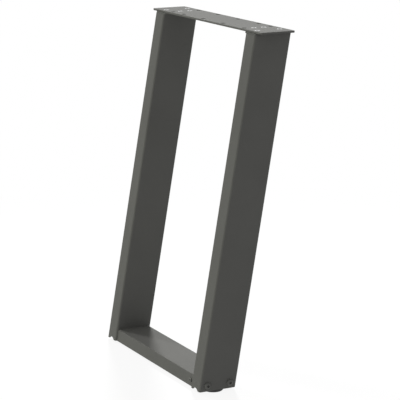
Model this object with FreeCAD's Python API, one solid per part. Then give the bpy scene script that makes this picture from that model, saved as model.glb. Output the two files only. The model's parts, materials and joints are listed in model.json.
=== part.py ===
import FreeCAD, Part
import math
import os

os.makedirs("parts", exist_ok=True)

# Driving dimensions, in millimetres. The origin is the centre of the plate's top face, +Z up.
frame_height = 715.0
outer_width = 450.0
lean_deg = 10.0
tube_width = 40.0
tube_depth = 80.0
tube_wall = 2.0
tube_corner = 4.0
plate_thick = 4.0
plate_depth = 76.0
plate_overhang = 20.0
plate_corner = 4.0
plate_edge = 0.5
flange_thick = 3.0
beam_height = 26.0
beam_drop = 1.3
beam_recess = 4.0
beam_wall = 2.0
beam_corner = 2.5
foot_height = 5.0

# Clearances between pieces that fit one in another.
thread_clear = 0.05
bolt_clear = 0.3
foot_gap = 0.3

# How far a cutter runs past the face it opens, and the slack for comparing lengths.
cutter_overrun = 1.0
tolerance = 1e-6

# Holes in the plate for the table top: the end pairs, and a row of three set off to one side.
top_hole_radius = 5.0
top_hole_from_edge = 8.0
end_hole_x = 160.0
inner_hole_x = (-110.0, -20.0, 70.0)

# Countersunk plate screws, two over each tube and two over the flange's tongue.
screw_radius = 3.0
screw_head_radius = 6.0
screw_sunk = 0.2
screw_tip = 2.0
screw_socket = 5.0
screw_socket_depth = 1.8
tube_screw_from_edge = 13.0
tongue_screw_in = 40.0
tongue_screw_y = 11.0

# Flange on each tube's top end, with a tongue that reaches inwards.
flange_inset = 1.0
flange_shoulder = 3.0
flange_taper = 12.0
tongue_reach = 32.0
tongue_half = 20.0
flange_corner = 2.0

# Button-head bolts through each tube into the beam, and the lock screw in the beam's front.
# The crown's bulge is the share of its height and width by which its arc stands off the straight line.
crown_bulge = 0.16
bolt_radius = 4.0
bolt_head_radius = 7.0
bolt_head_height = 4.4
bolt_rim = 1.2
bolt_crown_radius = 3.8
bolt_socket = 5.0
bolt_socket_depth = 2.4
bolt_from_edge = 15.6
bolt_reach = 14.0
plug_length = 20.0
lock_radius = 2.5
lock_head_radius = 4.75
lock_head_height = 2.75
lock_rim = 0.7
lock_crown_radius = 2.7
lock_socket = 3.0
lock_socket_depth = 1.6
lock_from_tube = 10.5
lock_reach = 6.0

# Arched drain notch in the front wall at each tube's lower end.
notch_width = 21.0
notch_height = 4.6

# Levelling foot: pad, stem, and the plate and nut that hold it inside the tube.
pad_radius = 20.0
pad_lower_bevel = 1.2
pad_upper_bevel = 0.6
stem_radius = 4.0
stem_sink = 3.0
stem_past_nut = 8.5
stem_chamfer = 0.8
foot_plate_low = 20.0
foot_plate_thick = 3.0
nut_across = 13.0
nut_height = 6.5

# Values worked out from the ones above.
lean = math.tan(math.radians(lean_deg))
lean_cos = math.cos(math.radians(lean_deg))
tube_x = (outer_width - tube_width) / 2
inner_x = tube_x - tube_width / 2
outer_x = outer_width / 2
tube_top = -(plate_thick + flange_thick)
tube_low = -frame_height
level_depth = tube_depth / lean_cos
level_wall = tube_wall / lean_cos
raw_length = 4 * frame_height
plate_length = outer_width + 2 * plate_overhang
top_hole_y = plate_depth / 2 - top_hole_from_edge
screw_cone_low = screw_radius - screw_head_radius
beam_low = tube_low - beam_drop
beam_mid = beam_low + beam_height / 2
foot_y = lean * (tube_low - tube_top)
foot_nut_low = tube_low + foot_plate_low + foot_plate_thick
SIDES = (("left", -1), ("right", 1))


def vec(x, y, z):
    return FreeCAD.Vector(x, y, z)


def centre_y(z):
    """Y of the leaning tubes' centre line at height z."""
    return lean * (z - tube_top)


def edges_along(shape, axis):
    """The straight edges of a shape that run along one axis."""
    found = []
    for edge in shape.Edges:
        if len(edge.Vertexes) == 2:
            run = edge.Vertexes[1].Point - edge.Vertexes[0].Point
            if abs(abs(run.dot(axis)) - run.Length) < tolerance:
                found.append(edge)
    return found


def prism(points, travel):
    """A solid swept from a closed polygon."""
    wire = Part.makePolygon(points + [points[0]])
    return Part.Face(wire).extrude(travel)


def hexagon(across, height):
    """A hexagonal prism on the XY plane."""
    radius = across / 2 / math.cos(math.pi / 6)
    points = []
    for step in range(6):
        turn = step * math.pi / 3
        points.append(vec(radius * math.cos(turn), radius * math.sin(turn), 0))
    return prism(points, vec(0, 0, height))


def leaning_bar(x, inset, low, high):
    """A length of the leaning tube's section, cut level at both heights."""
    width = tube_width - 2 * inset
    depth = tube_depth - 2 * inset
    bar = Part.makeBox(width, depth, raw_length, vec(-width / 2, -depth / 2, -raw_length / 2))
    bar = bar.makeFillet(tube_corner - inset, edges_along(bar, vec(0, 0, 1)))
    bar.rotate(vec(0, 0, 0), vec(1, 0, 0), -lean_deg)
    bar.translate(vec(x, 0, tube_top))
    slab = Part.makeBox(raw_length, raw_length, high - low, vec(-raw_length / 2, -raw_length / 2, low))
    return bar.common(slab)


def beam_bar(inset, radius, start, end):
    """A length of the beam's section, with faces that lean as the tubes do."""
    side = inset / lean_cos
    low = beam_low + inset
    high = beam_low + beam_height - inset
    half = level_depth / 2 - beam_recess - side
    points = [
        vec(start, centre_y(low) - half, low),
        vec(start, centre_y(high) - half, high),
        vec(start, centre_y(high) + half, high),
        vec(start, centre_y(low) + half, low),
    ]
    bar = prism(points, vec(end - start, 0, 0))
    return bar.makeFillet(radius, edges_along(bar, vec(1, 0, 0)))


def rod(radius, start, end):
    """A round bar between two points."""
    run = end - start
    return Part.makeCylinder(radius, run.Length, start, run)


def button_screw(shank, reach, head, height, rim, crown, socket, socket_depth):
    """A button-head screw along Z, with its head above z = 0 and its shank below."""
    middle = vec((head + crown) / 2 + (head - crown) * crown_bulge, 0,
                 (rim + height) / 2 + (height - rim) * crown_bulge)
    profile = Part.Wire([
        Part.makeLine(vec(0, 0, -reach), vec(shank, 0, -reach)),
        Part.makeLine(vec(shank, 0, -reach), vec(shank, 0, 0)),
        Part.makeLine(vec(shank, 0, 0), vec(head, 0, 0)),
        Part.makeLine(vec(head, 0, 0), vec(head, 0, rim)),
        Part.Arc(vec(head, 0, rim), middle, vec(crown, 0, height)).toShape(),
        Part.makeLine(vec(crown, 0, height), vec(0, 0, height)),
        Part.makeLine(vec(0, 0, height), vec(0, 0, -reach)),
    ])
    screw = Part.Face(profile).revolve(vec(0, 0, 0), vec(0, 0, 1), 360)
    drive = hexagon(socket, socket_depth + cutter_overrun)
    drive.translate(vec(0, 0, height - socket_depth))
    return screw.cut(drive)


def sunk_screw(x, y):
    """A countersunk plate screw, its head just below the plate's top face."""
    head_height = -screw_sunk - screw_cone_low
    head = Part.makeCone(screw_radius, screw_radius + head_height, head_height, vec(x, y, screw_cone_low))
    shank = rod(screw_radius, vec(x, y, tube_top - screw_tip), vec(x, y, screw_cone_low))
    drive = hexagon(screw_socket, screw_socket_depth + cutter_overrun)
    drive.translate(vec(x, y, -screw_sunk - screw_socket_depth))
    return head.fuse(shank).removeSplitter().cut(drive)


def place(shape, point, direction):
    """Turn a shape built along +Z to a direction and set its origin on a point."""
    shape.Placement = FreeCAD.Placement(point, FreeCAD.Rotation(vec(0, 0, 1), direction))
    return shape


def plate_screw_points(side):
    """Where one end's plate screws stand, the tube pair first."""
    tube_pair = (tube_x, plate_depth / 2 - tube_screw_from_edge)
    tongue_pair = (tube_x - tongue_screw_in, tongue_screw_y)
    points = []
    for x, y in (tube_pair, tongue_pair):
        points.append((side * x, -y))
        points.append((side * x, y))
    return points


def bolt_rows():
    """Y of the two beam bolts in a tube."""
    middle = centre_y(beam_mid)
    reach = level_depth / 2 - bolt_from_edge
    return (middle - reach, middle + reach)


def save(name, shape):
    shape.exportStep("parts/" + name + ".step")


def top_plate():
    plate = Part.makeBox(plate_length, plate_depth, plate_thick,
                         vec(-plate_length / 2, -plate_depth / 2, -plate_thick))
    plate = plate.makeFillet(plate_corner, edges_along(plate, vec(0, 0, 1)))
    rims = [edge for edge in plate.Edges
            if edge.BoundBox.ZMax - edge.BoundBox.ZMin < tolerance]
    plate = plate.makeChamfer(plate_edge, rims)
    holes = []
    for row in (-1, 1):
        y = row * top_hole_y
        for x in (-end_hole_x, end_hole_x) + tuple(-row * value for value in inner_hole_x):
            holes.append(rod(top_hole_radius, vec(x, y, -plate_thick), vec(x, y, 0)))
    for name, side in SIDES:
        for x, y in plate_screw_points(side):
            holes.append(Part.makeCone(screw_radius, screw_head_radius, -screw_cone_low,
                                       vec(x, y, screw_cone_low)))
            holes.append(rod(screw_radius + bolt_clear, vec(x, y, -plate_thick), vec(x, y, 0)))
    return plate.cut(holes)


def drain_notch(x):
    """The arch cut through a tube's front wall, level with its lower end."""
    start = centre_y(tube_low) - level_depth / 2 - level_wall
    travel = 2 * level_wall + lean * notch_height
    half = notch_width / 2
    left = vec(x - half, start, tube_low)
    right = vec(x + half, start, tube_low)
    crown = vec(x, start, tube_low + notch_height)
    outline = Part.Wire([Part.makeLine(left, right), Part.Arc(right, crown, left).toShape()])
    return Part.Face(outline).extrude(vec(0, travel, 0))


def tube(side):
    x = side * tube_x
    body = leaning_bar(x, 0, tube_low, tube_top).cut(leaning_bar(x, tube_wall, tube_low, tube_top))
    cuts = [drain_notch(x)]
    for y in bolt_rows():
        cuts.append(rod(bolt_radius + bolt_clear, vec(side * inner_x, y, beam_mid),
                        vec(side * outer_x, y, beam_mid)))
    return body.cut(cuts)


def top_flange(side):
    end = outer_x - flange_inset
    shoulder = inner_x - flange_shoulder
    tongue = shoulder - flange_taper
    tip = inner_x - tongue_reach
    half = level_depth / 2 - flange_inset
    outline = [(end, -half), (end, half), (shoulder, half), (tongue, tongue_half),
               (tip, tongue_half), (tip, -tongue_half), (tongue, -tongue_half), (shoulder, -half)]
    points = [vec(side * x, y, tube_top) for x, y in outline]
    flange = prism(points, vec(0, 0, flange_thick))
    flange = flange.makeFillet(flange_corner, edges_along(flange, vec(0, 0, 1)))
    holes = []
    for x, y in plate_screw_points(side):
        holes.append(rod(screw_radius + thread_clear, vec(x, y, tube_top), vec(x, y, -plate_thick)))
    return flange.cut(holes)


def lock_frame():
    """Point and outward direction of the lock screw on the beam's leaning front face."""
    front = centre_y(beam_mid) - level_depth / 2 + beam_recess
    outward = vec(0, -lean_cos, lean_cos * lean)
    return vec(inner_x - lock_from_tube, front, beam_mid), outward


def lock_hole(radius):
    point, outward = lock_frame()
    return rod(radius, point - outward * lock_reach, point + outward * lock_reach)


def cross_beam():
    body = beam_bar(0, beam_corner, -inner_x, inner_x)
    hollow = beam_bar(beam_wall, beam_corner - beam_wall, -inner_x, inner_x)
    return body.cut(hollow).cut(lock_hole(lock_radius + bolt_clear))


def beam_plug(side):
    plug = beam_bar(beam_wall, beam_corner - beam_wall, side * (inner_x - plug_length), side * inner_x)
    holes = []
    for y in bolt_rows():
        holes.append(rod(bolt_radius + thread_clear, vec(side * (inner_x - bolt_reach), y, beam_mid),
                         vec(side * inner_x, y, beam_mid)))
    if side > 0:
        holes.append(lock_hole(lock_radius + thread_clear))
    return plug.cut(holes)


def beam_bolts(side):
    bolts = []
    for y in bolt_rows():
        bolt = button_screw(bolt_radius, tube_width + bolt_reach, bolt_head_radius, bolt_head_height,
                            bolt_rim, bolt_crown_radius, bolt_socket, bolt_socket_depth)
        bolts.append(place(bolt, vec(side * outer_x, y, beam_mid), vec(side, 0, 0)))
    return Part.makeCompound(bolts)


def lock_screw():
    point, outward = lock_frame()
    screw = button_screw(lock_radius, lock_reach, lock_head_radius, lock_head_height,
                         lock_rim, lock_crown_radius, lock_socket, lock_socket_depth)
    return place(screw, point, outward)


def foot_plate(side):
    low = tube_low + foot_plate_low
    plate = leaning_bar(side * tube_x, tube_wall, low, low + foot_plate_thick)
    hole = rod(stem_radius + thread_clear, vec(side * tube_x, foot_y, low),
               vec(side * tube_x, foot_y, low + foot_plate_thick))
    return plate.cut(hole)


def foot_nut(side):
    nut = hexagon(nut_across, nut_height)
    nut = nut.cut(rod(stem_radius + thread_clear, vec(0, 0, 0), vec(0, 0, nut_height)))
    nut.translate(vec(side * tube_x, foot_y, foot_nut_low))
    return nut


def foot_stem(side):
    low = tube_low - foot_gap - stem_sink
    high = foot_nut_low + nut_height + stem_past_nut
    stem = rod(stem_radius, vec(side * tube_x, foot_y, low), vec(side * tube_x, foot_y, high))
    rim = [edge for edge in stem.Edges if edge.BoundBox.ZMin > high - tolerance]
    return stem.makeChamfer(stem_chamfer, rim)


def foot_pad(side):
    high = tube_low - foot_gap
    low = tube_low - foot_height
    x = side * tube_x
    pad = rod(pad_radius, vec(x, foot_y, low), vec(x, foot_y, high))
    lower_rim = [edge for edge in pad.Edges if edge.BoundBox.ZMax < low + tolerance]
    pad = pad.makeChamfer(pad_lower_bevel, lower_rim)
    upper_rim = [edge for edge in pad.Edges if edge.BoundBox.ZMin > high - tolerance]
    pad = pad.makeChamfer(pad_upper_bevel, upper_rim)
    return pad.cut(rod(stem_radius, vec(x, foot_y, high - stem_sink), vec(x, foot_y, high)))


save("top_plate", top_plate())
save("cross_beam", cross_beam())
save("beam_lock_screw", lock_screw())
for name, side in SIDES:
    save(name + "_tube", tube(side))
    save(name + "_top_flange", top_flange(side))
    screws = [sunk_screw(x, y) for x, y in plate_screw_points(side)]
    save(name + "_plate_screws", Part.makeCompound(screws))
    save(name + "_beam_plug", beam_plug(side))
    save(name + "_beam_bolts", beam_bolts(side))
    save(name + "_foot_plate", foot_plate(side))
    save(name + "_foot_nut", foot_nut(side))
    save(name + "_foot_stem", foot_stem(side))
    save(name + "_foot_pad", foot_pad(side))
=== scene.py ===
import bpy
import json
import math
from mathutils import Matrix, Vector


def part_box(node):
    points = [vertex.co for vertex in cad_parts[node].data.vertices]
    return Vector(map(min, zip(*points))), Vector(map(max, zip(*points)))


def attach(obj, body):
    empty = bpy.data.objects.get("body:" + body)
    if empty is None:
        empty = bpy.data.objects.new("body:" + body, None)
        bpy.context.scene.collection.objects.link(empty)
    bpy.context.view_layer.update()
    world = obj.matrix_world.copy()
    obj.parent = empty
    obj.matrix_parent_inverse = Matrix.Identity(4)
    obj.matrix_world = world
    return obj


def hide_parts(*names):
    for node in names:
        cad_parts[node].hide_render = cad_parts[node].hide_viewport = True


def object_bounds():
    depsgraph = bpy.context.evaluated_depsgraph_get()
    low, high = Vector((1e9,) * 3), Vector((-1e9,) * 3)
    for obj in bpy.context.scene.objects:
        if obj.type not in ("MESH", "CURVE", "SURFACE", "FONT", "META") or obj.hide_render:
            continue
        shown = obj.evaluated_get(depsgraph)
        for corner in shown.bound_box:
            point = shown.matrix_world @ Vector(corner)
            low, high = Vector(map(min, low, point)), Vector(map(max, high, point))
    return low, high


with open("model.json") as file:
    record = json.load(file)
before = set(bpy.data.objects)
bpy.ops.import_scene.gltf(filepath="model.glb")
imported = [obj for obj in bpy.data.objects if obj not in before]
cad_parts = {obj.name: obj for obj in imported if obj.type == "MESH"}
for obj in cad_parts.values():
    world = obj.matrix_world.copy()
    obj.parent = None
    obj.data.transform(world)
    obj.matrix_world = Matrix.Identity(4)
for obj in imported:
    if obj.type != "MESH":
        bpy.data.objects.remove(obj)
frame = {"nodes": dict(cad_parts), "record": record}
cad_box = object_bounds()

# The camera that matches the photograph, in metres and degrees, with no shift.
camera_place = (3.44350, -1.77677, 0.45719)
camera_azimuth = 63.3597
camera_elevation = 12.2093
camera_roll = -0.2864
camera_lens = 169.913
camera_sensor = 36.0
camera_far = 100.0

# Light: the level of the even surroundings, and the soft boxes as place, size, power and tint.
white = (1.0, 1.0, 1.0, 1.0)
ambient_level = 0.325
plain_tint = (1.0, 1.0, 1.0)
front_tint = (1.0, 1.02, 0.87)
soft_boxes = {
    "key_box": ((-6.6, 4.46, 10.36), 1.1, 1650.0, plain_tint),
    "front_box": ((-0.3, -2.4, -0.35), 1.8, 26.5, front_tint),
    "side_box": ((-4.3, -1.19, 3.55), 0.45, 100.0, plain_tint),
}
aim_point = Vector((0.0, -0.06, -0.36))

# Floor: its reach to each side, the even light it gives the leg, its colour where it takes the shadow,
# the share of plain white over that near the leg, and the distances between which it turns all white.
floor_reach = 30.0
floor_glow = 0.62
floor_colour = (0.9, 0.9, 0.9, 1.0)
floor_white = 0.9
floor_fade = (0.5, 1.7)

# Screw thread of the foot stems, in metres: pitch, depth, and how far the ridge bites into the core.
# The ridge has three corners in section. Its half width is a share of the pitch, and it runs out at
# both ends over a part of a turn.
thread_pitch = 0.00125
thread_depth = 0.00065
thread_bite = 0.0001
thread_steps = 28
ridge_half_share = 0.44
ridge_run_out = 0.5
ridge_corners = 3
stem_end_bevel = 0.0008

# Finishes: two linear colours each, and the lowest and highest roughness.
coat_dark = (0.113, 0.113, 0.1065, 1.0)
coat_light = (0.138, 0.138, 0.13, 1.0)
coat_rough = (0.6, 0.75)
bolt_dark = (0.118, 0.118, 0.111, 1.0)
bolt_light = (0.146, 0.146, 0.138, 1.0)
bolt_rough = (0.38, 0.52)
zinc_dark = (0.34, 0.345, 0.35, 1.0)
zinc_light = (0.46, 0.46, 0.455, 1.0)
zinc_rough = (0.3, 0.46)
steel_dark = (0.36, 0.36, 0.37, 1.0)
steel_light = (0.52, 0.52, 0.53, 1.0)
steel_rough = (0.3, 0.46)
pad_dark = (0.012, 0.012, 0.012, 1.0)
pad_light = (0.024, 0.024, 0.024, 1.0)
pad_rough = (0.45, 0.65)

# Grain of the finishes. A noise is waves in a metre, detail and roughness, a bump is depth in metres and
# strength, and a contrast is the two levels of the noise between which the colour runs.
coat_speckle = (1400.0, 2.0, 0.5)
coat_drift = (9.0, 3.0, 0.5)
coat_pebble = (900.0, 3.0, 0.6)
coat_wave = (220.0, 1.0, 0.5)
coat_speckle_share = 0.65
coat_drift_share = 0.35
coat_contrast = (0.35, 0.65)
coat_pebble_bump = (0.00012, 0.3)
coat_wave_bump = (0.0002, 0.12)
coat_gloss = 0.12
metal_cloud = (320.0, 3.0, 0.5)
metal_grain = (2600.0, 2.0, 0.5)
metal_contrast = (0.35, 0.65)
metal_bump = (0.00004, 0.2)
plastic_cloud = (60.0, 2.0, 0.5)
plastic_grain = (1900.0, 3.0, 0.6)
plastic_contrast = (0.3, 0.7)
plastic_bump = (0.00008, 0.3)


def new_material(name):
    """A material with its node tree, its shader and the object's own coordinates."""
    material = bpy.data.materials.new(name)
    material.use_nodes = True
    tree = material.node_tree
    shader = tree.nodes["Principled BSDF"]
    coordinates = tree.nodes.new("ShaderNodeTexCoord")
    return material, tree, shader, coordinates.outputs["Object"]


def noise(tree, vector, grain):
    """A noise texture of one grain."""
    scale, detail, roughness = grain
    node = tree.nodes.new("ShaderNodeTexNoise")
    node.inputs["Scale"].default_value = scale
    node.inputs["Detail"].default_value = detail
    node.inputs["Roughness"].default_value = roughness
    tree.links.new(vector, node.inputs["Vector"])
    return node.outputs["Fac"]


def calculate(tree, operation, *values):
    """The result of an operation on sockets and plain numbers."""
    node = tree.nodes.new("ShaderNodeMath")
    node.operation = operation
    for socket, value in zip(node.inputs, values):
        if isinstance(value, float):
            socket.default_value = value
        else:
            tree.links.new(value, socket)
    return node.outputs[0]


def ramp(tree, factor, contrast, low_colour, high_colour):
    """A colour that runs between two levels of a factor."""
    node = tree.nodes.new("ShaderNodeValToRGB")
    ends = node.color_ramp.elements
    for end, level, colour in zip(ends, contrast, (low_colour, high_colour)):
        end.position = level
        end.color = colour
    tree.links.new(factor, node.inputs["Fac"])
    return node.outputs["Color"]


def spread(tree, factor, limits):
    """A factor mapped onto a range, for roughness."""
    node = tree.nodes.new("ShaderNodeMapRange")
    node.inputs["To Min"].default_value = limits[0]
    node.inputs["To Max"].default_value = limits[1]
    tree.links.new(factor, node.inputs["Value"])
    return node.outputs["Result"]


def bump(tree, height, relief, below=None):
    """A bump from a height, on top of another where one is given."""
    distance, strength = relief
    node = tree.nodes.new("ShaderNodeBump")
    node.inputs["Distance"].default_value = distance
    node.inputs["Strength"].default_value = strength
    tree.links.new(height, node.inputs["Height"])
    if below is not None:
        tree.links.new(below, node.inputs["Normal"])
    return node.outputs["Normal"]


def finish(tree, shader, colour, roughness, normal):
    """Link a colour, a roughness and a bump to the shader."""
    tree.links.new(colour, shader.inputs["Base Color"])
    tree.links.new(roughness, shader.inputs["Roughness"])
    tree.links.new(normal, shader.inputs["Normal"])


def powder_coat(name, dark, light, rough):
    """Matte powder coat: a fine pebbled skin over slow waves, with faint speckle in its tone."""
    material, tree, shader, place = new_material(name)
    speckle = calculate(tree, "MULTIPLY", noise(tree, place, coat_speckle), coat_speckle_share)
    tone = calculate(tree, "MULTIPLY_ADD", noise(tree, place, coat_drift), coat_drift_share, speckle)
    pebble = noise(tree, place, coat_pebble)
    slow = bump(tree, noise(tree, place, coat_wave), coat_wave_bump)
    colour = ramp(tree, tone, coat_contrast, dark, light)
    finish(tree, shader, colour, spread(tree, pebble, rough), bump(tree, pebble, coat_pebble_bump, slow))
    shader.inputs["Specular IOR Level"].default_value = coat_gloss
    return material


def bright_metal(name, dark, light, rough):
    """Plated or bare steel: a fine grain and a slightly cloudy tone."""
    material, tree, shader, place = new_material(name)
    grain = noise(tree, place, metal_grain)
    colour = ramp(tree, noise(tree, place, metal_cloud), metal_contrast, dark, light)
    finish(tree, shader, colour, spread(tree, grain, rough), bump(tree, grain, metal_bump))
    shader.inputs["Metallic"].default_value = 1.0
    return material


def moulded_plastic(name, dark, light, rough):
    """Black moulded plastic with a fine spark-eroded grain."""
    material, tree, shader, place = new_material(name)
    grain = noise(tree, place, plastic_grain)
    colour = ramp(tree, noise(tree, place, plastic_cloud), plastic_contrast, dark, light)
    finish(tree, shader, colour, spread(tree, grain, rough), bump(tree, grain, plastic_bump))
    return material


def dress(materials):
    """Give every CAD node the material of its slot in the record."""
    for part in frame["record"]["subparts"]:
        mesh = frame["nodes"][part["node"]].data
        mesh.materials.clear()
        mesh.materials.append(materials[part["material_slot"]])


def round_point(centre, reach, step, height):
    """A point at a distance from an upright axis, some steps of a turn round it."""
    turn = 2.0 * math.pi * step / thread_steps
    return (centre.x + reach * math.cos(turn), centre.y + reach * math.sin(turn), height)


def stem_core(centre, root, low, high):
    """Points and faces of the plain core, bevelled at its upper end."""
    levels = ((low, root), (high - stem_end_bevel, root), (high, root - stem_end_bevel))
    points = []
    for height, radius in levels:
        points += [round_point(centre, radius, step, height) for step in range(thread_steps)]
    faces = [tuple(reversed(range(thread_steps)))]
    for level in range(len(levels) - 1):
        for step in range(thread_steps):
            here = level * thread_steps + step
            beside = level * thread_steps + (step + 1) % thread_steps
            faces.append((here, beside, beside + thread_steps, here + thread_steps))
    last = (len(levels) - 1) * thread_steps
    faces.append(tuple(range(last, last + thread_steps)))
    return points, faces


def stem_ridge(centre, root, radius, low, high):
    """Points and faces of the thread's ridge, which winds up the core and runs out at both ends."""
    half = thread_pitch * ridge_half_share
    start = low + half
    count = int((high - stem_end_bevel - half - start) / thread_pitch * thread_steps)
    run_out = thread_steps * ridge_run_out
    foot = root - thread_bite
    points = []
    for step in range(count + 1):
        height = start + thread_pitch * step / thread_steps
        grown = min(1.0, (step + 1) / run_out, (count - step + 1) / run_out)
        crest = root + (radius - root) * grown
        for reach, rise in ((foot, -half), (crest, 0.0), (foot, half)):
            points.append(round_point(centre, reach, step, height + rise))
    faces = [tuple(range(ridge_corners))]
    for step in range(count):
        here = ridge_corners * step
        beyond = here + ridge_corners
        for edge in range(ridge_corners):
            other = (edge + 1) % ridge_corners
            faces.append((here + edge, beyond + edge, beyond + other, here + other))
    last = ridge_corners * count
    faces.append(tuple(reversed(range(last, last + ridge_corners))))
    return points, faces


def threaded_stem(side, material):
    """A foot stem with its thread, in place of the plain CAD stem."""
    node = side + "_foot_stem"
    low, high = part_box(node)
    centre = (low + high) / 2.0
    radius = (high.x - low.x) / 2.0
    root = radius - thread_depth
    points, faces = stem_core(centre, root, low.z, high.z)
    ridge_points, ridge_faces = stem_ridge(centre, root, radius, low.z, high.z)
    faces += [tuple(len(points) + corner for corner in face) for face in ridge_faces]
    mesh = bpy.data.meshes.new(side + "_threaded_stem")
    mesh.from_pydata(points + ridge_points, [], faces)
    mesh.materials.append(material)
    stem = bpy.data.objects.new(side + "_threaded_stem", mesh)
    bpy.context.scene.collection.objects.link(stem)
    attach(stem, side + "_foot")
    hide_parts(node)


def seen_ray(tree):
    """One where the eye, a reflection or a see-through ray looks, and nought for diffuse light."""
    path = tree.nodes.new("ShaderNodeLightPath")
    seen = path.outputs["Is Camera Ray"]
    for name in ("Is Glossy Ray", "Is Transmission Ray"):
        seen = calculate(tree, "MAXIMUM", seen, path.outputs[name])
    return seen


def white_light(tree, kind, strength):
    """White light of one strength, from a surface or from the surroundings."""
    node = tree.nodes.new(kind)
    node.inputs["Color"].default_value = white
    node.inputs["Strength"].default_value = strength
    return node.outputs[0]


def mix(tree, factor, first, second):
    """A mix of two shaders: the first where the factor is nought and the second where it is one."""
    node = tree.nodes.new("ShaderNodeMixShader")
    tree.links.new(factor, node.inputs["Fac"])
    tree.links.new(first, node.inputs[1])
    tree.links.new(second, node.inputs[2])
    return node.outputs[0]


def make_world():
    """White where it is seen, and an even soft light from all round."""
    world = bpy.data.worlds.new("studio")
    bpy.context.scene.world = world
    world.use_nodes = True
    tree = world.node_tree
    tree.nodes.clear()
    output = tree.nodes.new("ShaderNodeOutputWorld")
    soft = white_light(tree, "ShaderNodeBackground", ambient_level)
    plain = white_light(tree, "ShaderNodeBackground", 1.0)
    tree.links.new(mix(tree, seen_ray(tree), soft, plain), output.inputs["Surface"])


def floor_whiteness(tree):
    """How much of the floor shows as plain white: a set share near the leg, and all of it further out."""
    place = tree.nodes.new("ShaderNodeTexCoord")
    flat = tree.nodes.new("ShaderNodeVectorMath")
    flat.operation = "MULTIPLY"
    flat.inputs[1].default_value = (1.0, 1.0, 0.0)
    tree.links.new(place.outputs["Object"], flat.inputs[0])
    away = tree.nodes.new("ShaderNodeVectorMath")
    away.operation = "LENGTH"
    tree.links.new(flat.outputs["Vector"], away.inputs[0])
    fade = tree.nodes.new("ShaderNodeMapRange")
    fade.interpolation_type = "SMOOTHSTEP"
    fade.inputs["From Min"].default_value = floor_fade[0]
    fade.inputs["From Max"].default_value = floor_fade[1]
    fade.inputs["To Min"].default_value = floor_white
    fade.inputs["To Max"].default_value = 1.0
    tree.links.new(away.outputs["Value"], fade.inputs["Value"])
    return fade.outputs["Result"]


def floor_material():
    """Pale and matte near the leg, where it keeps the shadow, and plain white further out."""
    material = bpy.data.materials.new("pale_floor")
    material.use_nodes = True
    tree = material.node_tree
    tree.nodes.clear()
    output = tree.nodes.new("ShaderNodeOutputMaterial")
    matte = tree.nodes.new("ShaderNodeBsdfDiffuse")
    matte.inputs["Color"].default_value = floor_colour
    glow = white_light(tree, "ShaderNodeEmission", floor_glow)
    plain = white_light(tree, "ShaderNodeEmission", 1.0)
    seen = seen_ray(tree)
    near = mix(tree, seen, glow, matte.outputs[0])
    share = calculate(tree, "MULTIPLY", seen, floor_whiteness(tree))
    tree.links.new(mix(tree, share, near, plain), output.inputs["Surface"])
    return material


def make_floor():
    """Two halves, each carried by the foot that stands on it, so a foot screwed out still stands."""
    material = floor_material()
    height = cad_box[0].z
    for side, start, end in (("left", -floor_reach, 0.0), ("right", 0.0, floor_reach)):
        mesh = bpy.data.meshes.new(side + "_floor")
        corners = [(start, -floor_reach, height), (end, -floor_reach, height),
                   (end, floor_reach, height), (start, floor_reach, height)]
        mesh.from_pydata(corners, [], [(0, 1, 2, 3)])
        mesh.materials.append(material)
        floor = bpy.data.objects.new(side + "_floor", mesh)
        bpy.context.scene.collection.objects.link(floor)
        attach(floor, side + "_foot")


def make_lights():
    """Square soft boxes, turned to the middle of the leg."""
    for name, (place, size, power, tint) in soft_boxes.items():
        light = bpy.data.lights.new(name, "AREA")
        light.shape = "SQUARE"
        light.size = size
        light.energy = power
        light.color = tint
        lamp = bpy.data.objects.new(name, light)
        lamp.location = place
        lamp.rotation_mode = "QUATERNION"
        lamp.rotation_quaternion = (aim_point - lamp.location).to_track_quat("-Z", "Y")
        bpy.context.scene.collection.objects.link(lamp)


def make_camera():
    """The photograph's viewpoint."""
    data = bpy.data.cameras.new("camera")
    data.lens = camera_lens
    data.sensor_width = camera_sensor
    data.clip_end = camera_far
    camera = bpy.data.objects.new("camera", data)
    turn = Matrix.Rotation(math.radians(camera_azimuth), 4, "Z")
    tilt = Matrix.Rotation(math.radians(90.0 - camera_elevation), 4, "X")
    roll = Matrix.Rotation(math.radians(camera_roll), 4, "Z")
    camera.matrix_world = Matrix.Translation(camera_place) @ turn @ tilt @ roll
    bpy.context.scene.collection.objects.link(camera)
    bpy.context.scene.camera = camera


materials = {
    "coated_steel": powder_coat("coated_steel", coat_dark, coat_light, coat_rough),
    "dark_bolt": powder_coat("dark_bolt", bolt_dark, bolt_light, bolt_rough),
    "zinc_screw": bright_metal("zinc_screw", zinc_dark, zinc_light, zinc_rough),
    "bare_steel": bright_metal("bare_steel", steel_dark, steel_light, steel_rough),
    "foot_plastic": moulded_plastic("foot_plastic", pad_dark, pad_light, pad_rough),
}
dress(materials)
for side in ("left", "right"):
    threaded_stem(side, materials["zinc_screw"])
make_world()
make_floor()
make_lights()
make_camera()
bpy.context.scene.view_settings.view_transform = "Standard"
